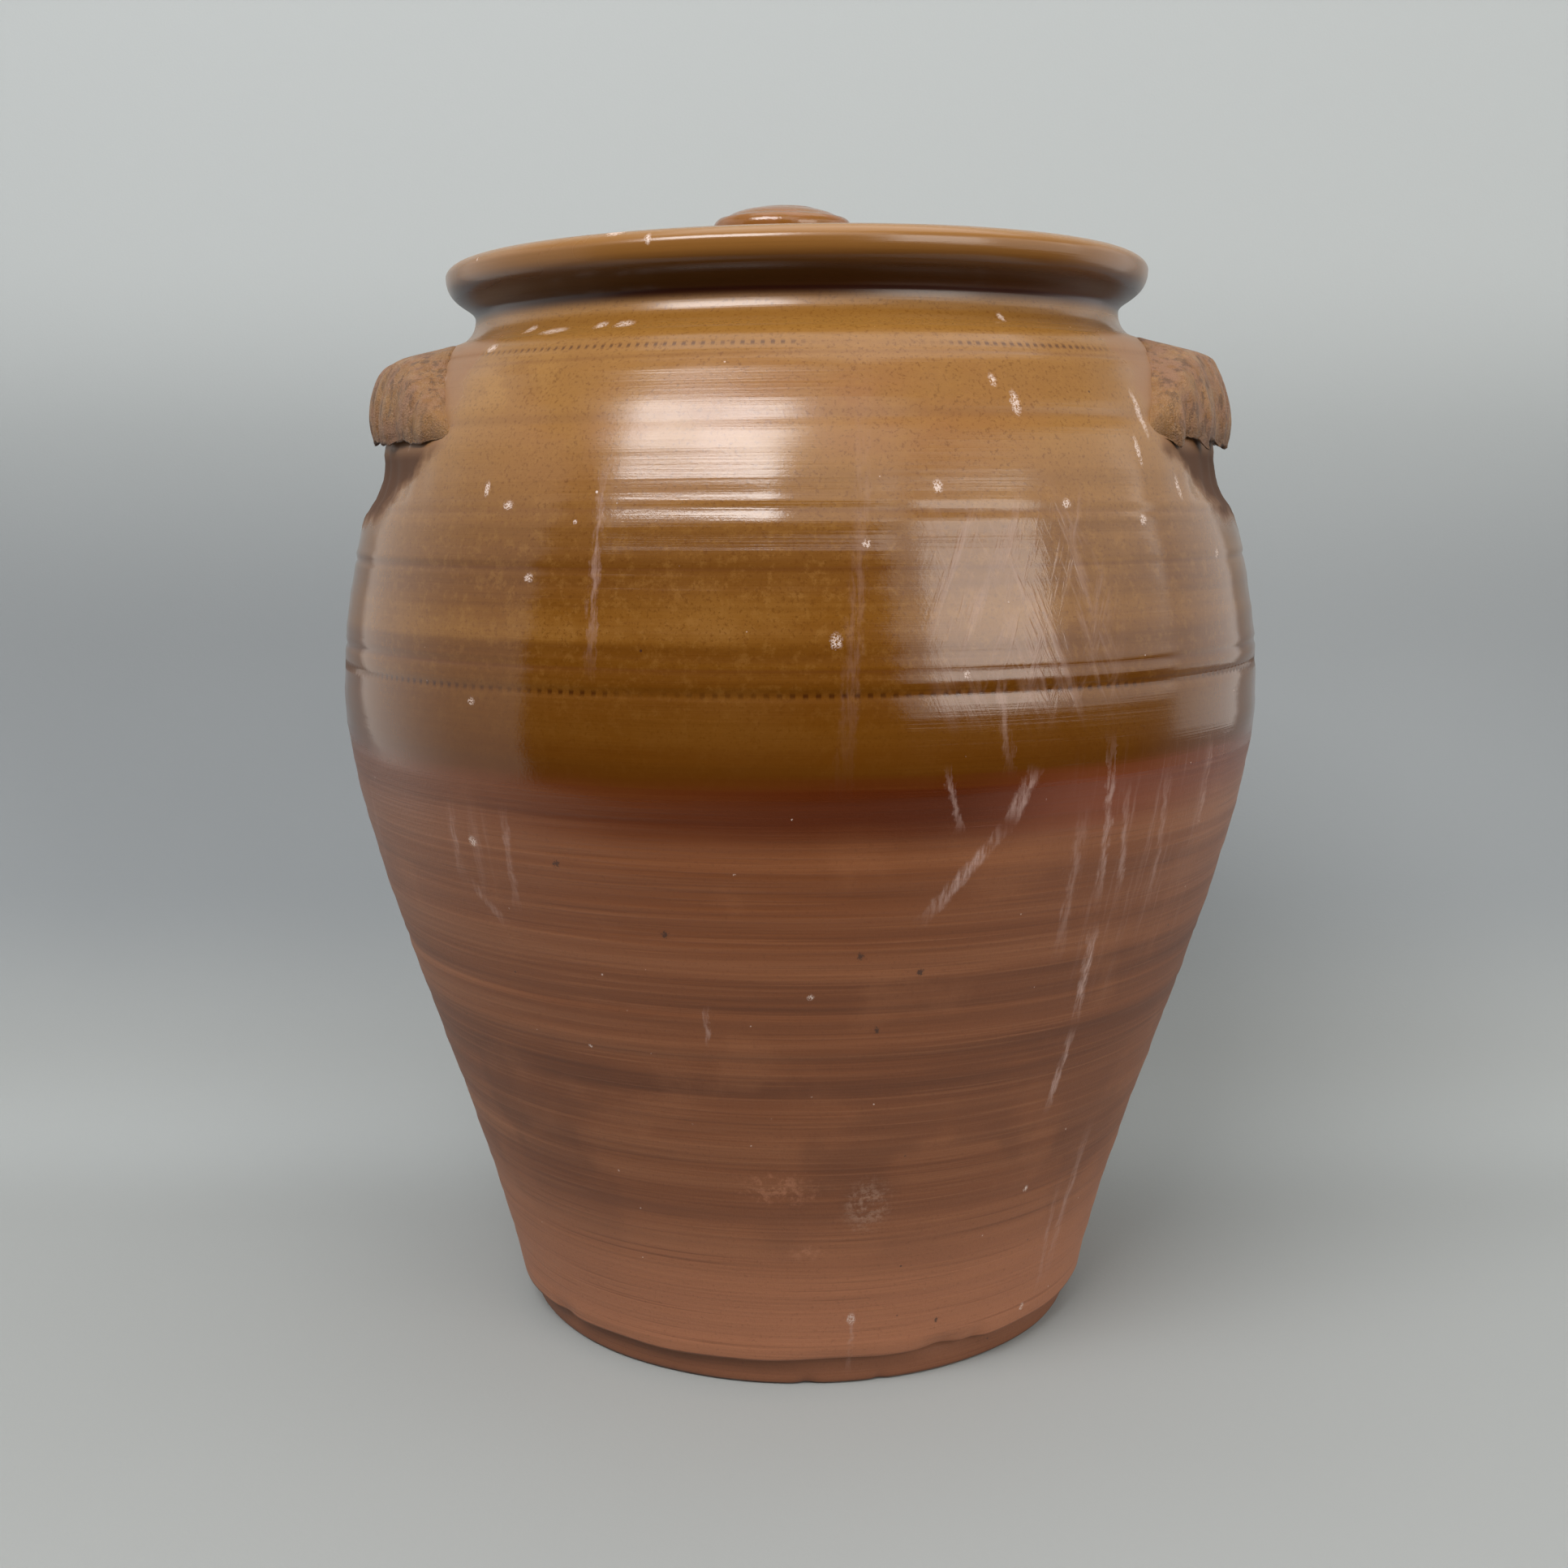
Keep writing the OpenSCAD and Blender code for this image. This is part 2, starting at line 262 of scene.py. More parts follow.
def tilt(verts):
    """The rim leans a little, easing in over the shoulder. Takes and gives millimetres."""
    ease = np.clip((verts[:, 2] - LEAN_OVER[0]) / (LEAN_OVER[1] - LEAN_OVER[0]), 0, 1)
    ease = ease * ease * (3 - 2 * ease)
    verts[:, 2] += (RIM_TILT * verts[:, 0] + RIM_LEAN * verts[:, 1]) * ease
    verts[:, 0] += RIM_SHIFT * ease
    return verts


def jar_profile():
    """The jar's closed outline from the centre of its underside to the centre of its floor, and how many points lie outside."""
    foot = [(0, 0), (30, 0.6), (60, 0.5), (90, 0), (BASE_R - 1.6, 0), (BASE_R - 0.5, 0.35), (BASE_R, 1.2)]
    band = [(BASE_R + 0.6, 3.4), (BASE_R + 1.1, 5.6), (BASE_R + 1.7, 7.8), (BASE_R + 2.2, 9.6)]
    ledge = [(LEDGE_R - 2.6, FOOT_H - 0.9), (LEDGE_R - 1.0, FOOT_H - 0.8), (LEDGE_R - 0.2, FOOT_H - 0.3)]
    low = heights(FOOT_H + 0.4, BELLY_H, 3.3)
    high = heights(BELLY_H, HIGH_CURVE[3][1] - 1.2, 2.9)[1:]
    wall = [(wall_r(h), h) for h in low] + [(wall_r(h), h) for h in high]
    neck = arc(NECK_CENTRE, NECK_FILLET, NECK_TURN, 180, 10)
    # The roll is full and sags: a long turn below its widest part, a rounded shoulder above it
    turn = [(NECK_R, NECK_H), (NECK_R, NECK_H + ROLL_UNDER), (ROLL_WIDE_R, NECK_H + ROLL_UNDER), (ROLL_WIDE_R, ROLL_WIDE_H)]
    below = bezier(turn, np.linspace(0, 1, 15)[1:])
    above = arc((0, 0), 1, 0, 90, 12) * (ROLL_WIDE_R - ROLL_TOP_R, RIM_H + ROLL_R - ROLL_WIDE_H) + (ROLL_TOP_R, ROLL_WIDE_H)
    outside = foot + band + ledge + wall + neck.tolist() + below.tolist() + above[1:].tolist()
    lip = arc((MOUTH_R + 4, RIM_H + ROLL_R - 5), 4, 90, 180, 6)
    seat = arc((MOUTH_R - 2, SEAT_H + 2), 2, 0, -90, 4)
    nose = arc((THROAT_R + 3.5, SEAT_H - 3.5), 3.5, 90, 250, 8)
    under = arc(NECK_CENTRE, NECK_FILLET + WALL, 202, NECK_TURN, 5)
    corner_t = 0.14
    high_in = bezier_in(HIGH_CURVE, np.linspace(1, 0, 15)[1:-1], WALL)
    low_in = bezier_in(LOW_CURVE, np.linspace(1, corner_t, 20), WALL)
    slope = math.atan(LEDGE_LEAN * 1.1)
    corner_r = (low_in[-1][1] - FLOOR_T) / (1 - math.sin(slope))
    centre = low_in[-1] - corner_r * np.array([math.cos(slope), -math.sin(slope)])
    corner = arc(centre, corner_r, -math.degrees(slope), -90, 7)[1:]
    floor = [(60, FLOOR_T + 0.3), (35, FLOOR_T), (12, FLOOR_T + 1.2), (0, FLOOR_T + 1.8)]
    inside = np.vstack([lip, seat, nose, under, high_in, low_in, corner, np.array(floor, float)])
    return np.vstack([np.array(outside, float), inside]), len(outside)


def make_jar(material):
    profile, outside = jar_profile()

    def shape(r, h, a, i):
        # Azimuth runs from -pi to pi, with 0 towards the viewer
        az = np.where(a > math.pi, a - TAU, a)
        out = i < outside - 1
        body = out * np.clip((h - FOOT_H) / 4, 0, 1) * np.clip((NECK_START[1] + 1 - h) / 3, 0, 1)
        dr = body * surface_offset(h, az) - SKIN_IN * out * (h > 2)
        dr = dr - out * (h > 270) * (h < 330) * dent(r, h, az)
        dr = dr - out * 1.6 * np.cos(2 * az) * np.clip((80 - h) / 70, 0, 1) * (r > 60)
        wear_r, wear_h = ledge_wear(h, az)
        dr = dr + out * wear_r * (h > 5) + out * base_wear(h, az) * (r > 90)
        rim = np.clip((h - 362) / 8, 0, 1)
        dr = dr + rim * (0.25 * np.sin(2 * az + 2) + 0.12 * np.sin(5 * az)) * np.where(out, 1, -1)
        dh = out * wear_h * (h > 7) * (h < 30) + rim * (0.25 * np.sin(2 * az + 0.4) - 0.3)
        ring = (~out) * np.clip((340 - h) / 20, 0, 1) * np.clip((h - 24) / 20, 0, 1)
        dr = dr + ring * (0.7 * np.sin(TAU * h / 13 - az) + 0.25 * np.sin(TAU * h / 7.3 - 2 * az))
        return r + dr, h + dh

    verts, faces = lathe(profile, 560, shape)
    return mesh_object("jar", tilt(verts) * MM, faces, "jar", "jar_body", material)


# Shares of the drop from a lug's top edge to its lip, and of its stand-out there
LUG_FACE = np.array([
    (0, 0), (0.045, 0.28), (0.09, 0.66), (0.13, 0.9), (0.19, 1), (0.28, 1), (0.42, 0.92), (0.58, 0.8), (0.75, 0.63),
    (0.9, 0.44), (1, 0.27),
])
LIP_STOPS = [(-0.5, 2.9), (-0.3, 2.2), (0.6, 1.6), (3, 1.3)]


def make_lug(name, side, lobes, low_flutes, bump, seed, material):
    """One lug. side is 1 on the right. Each lobe is where a finger drew the lip down: degrees from the lug's
    middle with the viewer's side negative, width, drop in mm and push outwards in mm."""
    turns = np.linspace(-1, 1, 261)
    phase = np.random.default_rng(seed).uniform(0, TAU, 6)
    share = np.linspace(0, 1, 40)
    stand = np.interp(share, LUG_FACE[:, 0], LUG_FACE[:, 1])
    stand = np.convolve(np.pad(stand, 2, mode="edge"), [0.1, 0.2, 0.4, 0.2, 0.1], "valid")
    verts = []
    for u in turns:
        a = u * LUG_HALF
        w = 1 - u ** 4
        drop = sum(d * math.exp(-(((a - at) / wide) ** 2)) for at, wide, d, _ in lobes)
        push = sum(p * math.exp(-(((a - at) / wide) ** 2)) for at, wide, _, p in lobes)
        rag = 0.35 * math.sin(a * 1.9 + phase[0]) + 0.2 * math.sin(a * 4.3 + phase[1])
        lip = LUG_LIP + w * (rag - drop)
        fall = (LUG_TOP - LUG_LIP - 2) * max(0, (abs(a) - LUG_FLAT) / (LUG_HALF - LUG_FLAT)) ** 1.6
        top = LUG_TOP - fall + w * (0.5 * math.sin(a * 0.31 + phase[2]) + 0.25 * math.sin(a * 0.9 + phase[3]))
        ring = [(wall_r(top) - 4, top)]
        for s, f in zip(share, stand):
            h = top - s * (top - lip)
            wander = 0.7 * math.sin(a * 0.35 + phase[4]) + 0.05 * (h - LUG_LIP)
            flute = 0.5 + 0.5 * math.cos(TAU * (a + wander) / 5.6)
            fine = 0.5 + 0.5 * math.cos(TAU * (a + 0.04 * h) / 1.9 + phase[5])
            low = min(1, max(0, (s - 0.35) / 0.4))
            groove = (1.1 + low_flutes * low) * flute ** 1.5 + 0.3 * fine
            lump = bump * math.exp(-(((a + 16) / 3.5) ** 2) - ((s - 0.16) / 0.07) ** 2)
            r = wall_r(h) - 1 + w * (LUG_OUT * f + 1) - groove * min(1, 5 * s) * w + push * low * w + lump - 0.3
            ring.append((r, h))
        rise = min(1, (top - lip) / 20)
        for d, stand_mm in LIP_STOPS:
            h = lip + d * rise
            ring.append((wall_r(h) - 1 + w * (stand_mm + 1) + push * 0.7 * w - 0.3, h))
        ring.append((wall_r(lip + 5 * rise) - 4, lip + 5 * rise))
        rad = math.radians(a)
        verts += [(side * r * math.cos(rad), r * math.sin(rad), h) for r, h in ring]
    last = len(turns) - 1
    n = len(verts) // len(turns)
    faces = []
    for i in range(last):
        for j in range(n):
            k = (j + 1) % n
            quad = (i * n + j, (i + 1) * n + j, (i + 1) * n + k, i * n + k)
            faces.append(quad if side > 0 else quad[::-1])
    ends = [tuple(range(n)), tuple(last * n + j for j in reversed(range(n)))]
    faces += ends if side > 0 else [e[::-1] for e in ends]
    return mesh_object(
        name, tilt(np.array(verts)) * MM, faces, "jar", name.replace("_lug", "_handle"), material
    )


def lid_profile():
    crown = SEAT_H + LID_EDGE_T + LID_RISE
    dome = LID_R - 4
    under = [(0, SEAT_H + 3), (30, SEAT_H + 3), (60, SEAT_H + 3), (80, SEAT_H + 2.9), (83, SEAT_H + 1.6), (86, SEAT_H)]
    heel = arc((LID_R - 1.8, SEAT_H + 1.5), 1.5, -90, 0, 4)
    edge = arc((dome - 0.3, SEAT_H + LID_EDGE_T - 4), 4, 0, 80, 8)
    radii = np.linspace(dome - 1.5, 20, 44)
    top = [(r, crown - LID_RISE * ((r - 19) / (dome - 19)) ** 2) for r in radii]
    mid = [(16, crown), (8, crown), (0, crown)]
    return np.vstack([np.array(under, float), heel, edge, np.array(top + mid, float)])


def make_lid(material):
    def shape(r, h, a, i):
        top = (h > SEAT_H + LID_EDGE_T - 1) & (r > 19.5)
        rings = 0.22 * np.sin(TAU * r / 9 + a) + 0.1 * np.sin(TAU * r / 4.2 - 2 * a)
        return r - 0.15 - 0.12 * np.sin(2 * a), h + top * (rings - 0.35) * np.clip((r - 19) / 4, 0, 1)

    verts, faces = lathe(lid_profile(), 240, shape, (-LID_SLIP, 0))
    return mesh_object("lid_disc", tilt(verts) * MM, faces, "lid", "lid", material)


def knob_profile():
    foot = SEAT_H + LID_EDGE_T + LID_RISE
    tall = KNOB_TOP - foot
    stem = 0.6 * KNOB_R
    brim = foot + 0.61 * tall
    button = KNOB_R - 3.8
    base = [(0, foot), (8, foot), (stem + 1.5, foot)]
    waist = arc((stem + 4.5, foot + 0.25 * tall), 4.2, 230, 160, 8)
    edge = arc((button, brim), 3.8, -60, 60, 14)
    radii = button * np.linspace(0.98, 0.06, 18)
    top = [(r, KNOB_TOP - 0.1 - 2.9 * (r / button) ** 2 - 1.5 * (r / button) ** 6) for r in radii]
    return np.vstack([np.array(base, float), waist, edge, np.array(top + [(0, KNOB_TOP - 0.1)], float)])


def make_knob(material):
    def shape(r, h, a, i):
        wide = r > 12
        return r - wide * (0.25 + 0.2 * np.sin(2 * a + 0.5) + 0.1 * np.sin(3 * a)), h - wide * 0.15 * np.sin(a + 1) * (h > 385)

    verts, faces = lathe(knob_profile(), 120, shape, (-LID_SLIP - KNOB_SLIP, 0))
    return mesh_object("knob", tilt(verts) * MM, faces, "lid", "lid_knob", material)


# Materials are built from nodes that read the surface's own place on the jar


class Nodes:
    """A material under construction. Values are sockets or numbers, and places are in millimetres."""

    def __init__(self, name):
        self.mat = bpy.data.materials.new(name)
        self.mat.use_nodes = True
        self.tree = self.mat.node_tree
        self.tree.nodes.clear()
        self.out = self.tree.nodes.new("ShaderNodeOutputMaterial")
        self.shader = self.tree.nodes.new("ShaderNodeBsdfPrincipled")
        self.tree.links.new(self.shader.outputs[0], self.out.inputs[0])
        coord = self.tree.nodes.new("ShaderNodeTexCoord")
        scale = self.tree.nodes.new("ShaderNodeVectorMath")
        scale.operation = "SCALE"
        scale.inputs["Scale"].default_value = 1 / MM
        self.tree.links.new(coord.outputs["Object"], scale.inputs[0])
        self.place = scale.outputs[0]
        split = self.tree.nodes.new("ShaderNodeSeparateXYZ")
        self.tree.links.new(self.place, split.inputs[0])
        self.x, self.y, self.z = split.outputs
        self.az = self.math("ARCTAN2", self.x, self.math("MULTIPLY", self.y, -1.0))
        self.r = self.math("SQRT", self.math("ADD", self.math("POWER", self.x, 2.0), self.math("POWER", self.y, 2.0)))

    def level(self):
        """Heights are read as they were before the rim leaned over."""
        lean = self.add(self.mul(self.x, RIM_TILT), self.mul(self.y, RIM_LEAN))
        self.z = self.sub(self.z, self.mul(lean, self.step(self.z, *LEAN_OVER)))
        return self

    def put(self, socket, value):
        if isinstance(value, bpy.types.NodeSocket):
            self.tree.links.new(value, socket)
        elif isinstance(value, tuple) and len(value) == 3 and socket.type == "RGBA":
            socket.default_value = (*value, 1.0)
        else:
            socket.default_value = value

    def math(self, kind, a, b=None, c=None, clamp=False):
        node = self.tree.nodes.new("ShaderNodeMath")
        node.operation = kind
        node.use_clamp = clamp
        for socket, value in zip(node.inputs, (a, b, c)):
            if value is not None:
                self.put(socket, value)
        return node.outputs[0]

    def add(self, a, b):
        return self.math("ADD", a, b)

    def sub(self, a, b):
        return self.math("SUBTRACT", a, b)

    def mul(self, a, b):
        return self.math("MULTIPLY", a, b)

    def step(self, value, start, end):
        """0 before start, 1 after end, smooth between. start may be above end."""
        node = self.tree.nodes.new("ShaderNodeMapRange")
        node.interpolation_type = "SMOOTHSTEP"
        self.put(node.inputs["Value"], value)
        for socket, number in zip(node.inputs[1:5], (start, end, 0.0, 1.0) if start < end else (end, start, 1.0, 0.0)):
            self.put(socket, number)
        return node.outputs[0]

    def bump_at(self, value, centre, half):
        """1 at centre, falling smoothly to 0 at half either side."""
        return self.step(self.math("ABSOLUTE", self.sub(value, centre)), half, 0.0)

    def vector_math(self, kind, *values):
        node = self.tree.nodes.new("ShaderNodeVectorMath")
        node.operation = kind
        for socket, value in zip(node.inputs, values):
            self.put(socket, value)
        return node.outputs["Value"] if kind in ("LENGTH", "DOT_PRODUCT") else node.outputs[0]

    def far_from(self, flat, az, h, wide, tall):
        """Distance on the unrolled wall from a place, in half widths."""
        start = (-ARC_R * math.radians(az) / wide, -h / tall, 0.0)
        return self.vector_math("LENGTH", self.vector_math("MULTIPLY_ADD", flat, (1 / wide, 1 / tall, 0.0), start))

    def stroke(self, flat, az0, h0, az1, h1, width):
        """1 on a line drawn on the unrolled wall, falling to 0 at its edges and ends."""
        a = np.array([ARC_R * math.radians(az0), h0])
        b = np.array([ARC_R * math.radians(az1), h1])
        run = np.linalg.norm(b - a)
        along, across = (b - a) / run * 2 / run, np.array([a[1] - b[1], b[0] - a[0]]) / run / width
        middle = (a + b) / 2
        far = None
        for axis in (along, across):
            dot = self.vector_math("DOT_PRODUCT", flat, (float(axis[0]), float(axis[1]), 0.0))
            gap = self.math("ABSOLUTE", self.sub(dot, float(axis @ middle)))
            far = gap if far is None else self.math("MAXIMUM", far, gap)
        return self.step(far, 1.0, 0.15)

    def vector(self, x, y, z):
        node = self.tree.nodes.new("ShaderNodeCombineXYZ")
        for socket, value in zip(node.inputs, (x, y, z)):
            self.put(socket, value)
        return node.outputs[0]

    def noise(self, where, scale, detail=3.0, rough=0.55, distortion=0.0):
        node = self.tree.nodes.new("ShaderNodeTexNoise")
        self.put(node.inputs["Vector"], where)
        self.put(node.inputs["Scale"], scale)
        self.put(node.inputs["Detail"], detail)
        self.put(node.inputs["Roughness"], rough)
        self.put(node.inputs["Distortion"], distortion)
        return node.outputs["Fac"]

    def cells(self, where, scale, randomness=1.0):
        """Distance to the nearest of scattered points, and a random value for each point."""
        node = self.tree.nodes.new("ShaderNodeTexVoronoi")
        self.put(node.inputs["Vector"], where)
        self.put(node.inputs["Scale"], scale)
        self.put(node.inputs["Randomness"], randomness)
        split = self.tree.nodes.new("ShaderNodeSeparateColor")
        self.tree.links.new(node.outputs["Color"], split.inputs[0])
        return node.outputs["Distance"], split.outputs[0]

    def mix(self, share, a, b):
        node = self.tree.nodes.new("ShaderNodeMix")
        node.data_type = "RGBA"
        self.put(node.inputs[0], share)
        self.put(node.inputs[6], a)
        self.put(node.inputs[7], b)
        return node.outputs[2]

    def blend(self, share, a, b):
        node = self.tree.nodes.new("ShaderNodeMix")
        self.put(node.inputs[0], share)
        self.put(node.inputs[2], a)
        self.put(node.inputs[3], b)
        return node.outputs[0]

    def streaks(self, height_mm, across, seed, detail=3.0, rough=0.6):
        """Noise drawn out round the jar, with bands about height_mm apart that hold over a long way round."""
        where = self.vector(
            self.mul(self.x, across), self.mul(self.y, across), self.add(self.mul(self.z, 1 / height_mm), seed)
        )
        return self.noise(where, 1.0, detail, rough, 0.0)

    def finish(self, colour, rough, height, bump_mm, ior=1.5):
        bump = self.tree.nodes.new("ShaderNodeBump")
        bump.inputs["Strength"].default_value = 1.0
        bump.inputs["Distance"].default_value = bump_mm * MM
        self.put(bump.inputs["Height"], height)
        self.tree.links.new(bump.outputs[0], self.shader.inputs["Normal"])
        self.put(self.shader.inputs["Base Color"], colour)
        self.put(self.shader.inputs["Roughness"], rough)
        self.shader.inputs["IOR"].default_value = ior
        return self.mat


# Colours, linear
AMBER_DEEP = (0.090, 0.027, 0.0015)
AMBER = (0.188, 0.074, 0.0070)
OCHRE = (0.262, 0.126, 0.028)
PINK_GLAZE = (0.212, 0.084, 0.026)
# Near black: pooled glaze with painted shade, for the rim's underside and the roulette notches
POOLED_GLAZE_AND_SHADE = (0.030, 0.0050, 0.0006)
EDGE_DARK = (0.075, 0.0130, 0.0010)
EDGE_RED = (0.170, 0.040, 0.016)
CLAY = (0.166, 0.052, 0.0150)
CLAY_LIGHT = (0.268, 0.104, 0.042)
CLAY_DARK = (0.094, 0.026, 0.0060)
CLAY_FOOT = (0.330, 0.130, 0.063)
LIME = (0.620, 0.500, 0.440)
LIME_SCUFF = (0.430, 0.290, 0.250)
SOOT = (0.030, 0.014, 0.010)
LUG_PINK = (0.222, 0.106, 0.050)
LUG_SHADE = (0.048, 0.0145, 0.0015)
RIM_BROWN = (0.205, 0.088, 0.0190)


def body_colours(n):
    """Colour, glaze share, sheen and relief of the thrown body. The lugs share it so that they meet it."""
    broad = n.streaks(34.0, 0.0020, 3.1, 2.0, 0.5)
    wide = n.streaks(13.0, 0.0025, 11.7, 3.0, 0.55)
    thin = n.streaks(3.6, 0.0040, 27.3, 3.0, 0.6)
    hair = n.streaks(1.3, 0.0090, 41.9, 3.0, 0.65)
    mottle = n.noise(n.place, 0.030, 4.0, 0.6)
    cloud = n.noise(n.place, 0.018, 3.0, 0.6)
    grain = n.noise(n.place, 0.30, 4.0, 0.7)
    speck = n.noise(n.place, 0.90, 3.0, 0.7)
    side = n.math("COSINE", n.mul(n.az, 2.0))

    # Glaze: even amber with soft bands, lighter near the neck, pinkish where it is thin on the shoulder
    tone = n.add(n.mul(wide, 0.4), n.add(n.mul(broad, 0.3), n.mul(thin, 0.3)))
    glaze = n.mix(n.step(tone, 0.27, 0.74), AMBER_DEEP, AMBER)
    glaze = n.mix(n.mul(n.step(n.add(n.mul(mottle, 0.5), n.mul(wide, 0.5)), 0.46, 0.66), 0.35), glaze, OCHRE)
    glaze = n.mix(n.mul(n.step(n.z, 258.0, 330.0), 0.70), glaze, OCHRE)
    pink = n.mul(n.mul(n.bump_at(n.az, -0.05, 0.95), n.bump_at(n.z, 317.0, 34.0)), n.step(cloud, 0.34, 0.56))
    glaze = n.mix(n.mul(pink, 0.8), glaze, PINK_GLAZE)
    bare = n.mul(n.bump_at(n.az, -0.70, 0.26), n.bump_at(n.add(n.z, n.mul(n.az, -18.0)), 345.0, 15.0))
    glaze = n.mix(n.mul(bare, n.step(n.noise(n.place, 0.10, 4.0, 0.6), 0.44, 0.58)), glaze, OCHRE)
    glaze = n.mix(n.mul(n.step(grain, 0.48, 0.68), 0.28), glaze, OCHRE)
    glaze = n.mix(n.mul(n.step(speck, 0.52, 0.68), 0.52), glaze, AMBER_DEEP)
    # A darker band round the neck's crease: painted shade
    glaze = n.mix(n.mul(n.bump_at(n.z, 352.5, 3.5), 0.25), glaze, AMBER_DEEP)
    # Near black on the rim's underside and the top of the neck: pooled glaze, and painted shade where the underside
    # gets no light
    glaze = n.mix(n.mul(n.step(n.z, 356.0, 360.0), n.step(n.r, 108.0, 112.0)), glaze, POOLED_GLAZE_AND_SHADE)
    glaze = n.mix(n.step(n.z, 364.5, 371.5), glaze, RIM_BROWN)
    glaze = n.mix(n.mul(n.step(n.z, 373.0, 377.5), 0.80), glaze, OCHRE)
    glaze = n.mix(n.mul(n.step(n.z, 266.0, 216.0), 0.85), glaze, AMBER_DEEP)

    # Bare body: soft bands of slip, paler towards the foot
    slip = n.add(n.mul(wide, 0.40), n.add(n.mul(thin, 0.30), n.mul(broad, 0.30)))
    clay = n.mix(n.step(slip, 0.34, 0.52), CLAY_DARK, CLAY)
    clay = n.mix(n.mul(n.step(slip, 0.48, 0.68), 0.75), clay, CLAY_LIGHT)
    clay = n.mix(n.mul(n.step(mottle, 0.52, 0.70), 0.25), clay, CLAY_LIGHT)
    clay = n.mix(n.mul(n.mul(n.step(cloud, 0.50, 0.62), n.bump_at(n.z, 80.0, 70.0)), 0.5), clay, CLAY_DARK)
    clay = n.mix(n.mul(n.step(n.z, 86.0, 18.0), 0.8), clay, CLAY_FOOT)
    clay = n.mix(n.mul(n.step(hair, 0.52, 0.68), 0.35), clay, CLAY_LIGHT)
    clay = n.mix(n.mul(n.step(hair, 0.44, 0.32), 0.35), clay, CLAY_DARK)
    clay = n.mix(n.mul(n.step(speck, 0.54, 0.72), 0.30), clay, CLAY_DARK)
    # Darker on the foot band under the ledge: painted shade under the overhang
    clay = n.mix(n.mul(n.step(n.z, 11.6, 10.6), 0.6), clay, CLAY_DARK)

    # The glaze's lower edge dips at the front and back, and a band below it is burnt dark
    drift = n.mul(n.sub(n.noise(n.vector(n.mul(n.x, 0.014), n.mul(n.y, 0.014), 0.3), 1.0, 2.0), 0.5), 6.0)
    edge = n.add(n.add(214.5, n.mul(side, -2.0)), drift)
    above = n.sub(n.add(n.z, n.add(n.mul(n.sub(thin, 0.5), 9.0), n.mul(n.sub(hair, 0.5), 4.0))), edge)
    cover = n.step(above, -4.0, 4.5)
    band = n.mul(n.step(above, -21.0, -9.0), n.sub(1.0, n.step(above, -2.0, 7.0)))
    front = n.bump_at(n.az, 0.20, 0.95)
    burnt_tone = n.mix(n.step(n.az, 0.25, 0.65), EDGE_DARK, EDGE_RED)
    burnt = n.mul(band, n.add(0.38, n.mul(front, 0.60)))
    colour = n.mix(cover, clay, glaze)
    colour = n.mix(burnt, colour, burnt_tone)

    # Scored lines are darker: painted shade in the grooves. Roulette notches are darker too: pooled glaze with painted
    # shade.
    for at, depth, half in SCORES:
        line = n.bump_at(n.z, n.add(at, n.mul(n.math("SINE", n.add(n.az, at)), 0.7)), half)
        colour = n.mix(n.mul(line, 0.6 * depth), colour, CLAY_DARK)
    for at, _, half in ROULETTE:
        line = n.bump_at(n.z, n.add(at, n.mul(n.math("SINE", n.add(n.az, at)), 0.5)), half * 1.3)
        notch = n.step(n.math("COSINE", n.mul(n.az, float(NOTCHES))), 0.1, -0.6)
        worn = n.step(n.noise(n.vector(n.mul(n.az, 2.2), at, 0.0), 1.0, 2.0), 0.40, 0.58)
        colour = n.mix(n.mul(n.mul(line, n.mul(notch, worn)), 0.65), colour, POOLED_GLAZE_AND_SHADE)

    below = n.mul(n.step(above, -80.0, -8.0), n.sub(1.0, cover))
    sheen = n.math("MAXIMUM", n.step(above, -15.0, 5.0), n.mul(below, 0.45))
    relief = n.add(n.mul(thin, 0.5), n.add(n.mul(hair, 0.3), n.mul(speck, 0.15)))
    relief = n.mul(relief, n.sub(2.6, n.mul(cover, 1.6)))
    return colour, cover, sheen, relief


def film_and_painted_reflection(n):
    """A cloudy, wrinkled layer on the glaze, on the viewer's right of the belly, whose pale tint also stands in part
    for a painted reflection of a window: share and pattern.
    """
    arc_mm = n.mul(n.az, BELLY_R)
    lean = n.vector(n.add(n.mul(arc_mm, 0.13), n.mul(n.z, 0.05)), n.mul(n.z, 0.018), 7.0)
    other = n.vector(n.sub(n.mul(arc_mm, 0.16), n.mul(n.z, 0.06)), n.mul(n.z, 0.02), 19.0)
    strokes = n.math("MAXIMUM", n.noise(lean, 1.0, 4.0, 0.65), n.noise(other, 1.0, 4.0, 0.65))
    area = n.mul(n.step(n.az, 0.20, 0.30), n.step(n.az, 0.66, 0.56))
    area = n.mul(area, n.mul(n.step(n.z, 226.0, 240.0), n.step(n.z, 304.0, 284.0)))
    return area, n.step(strokes, 0.50, 0.68)


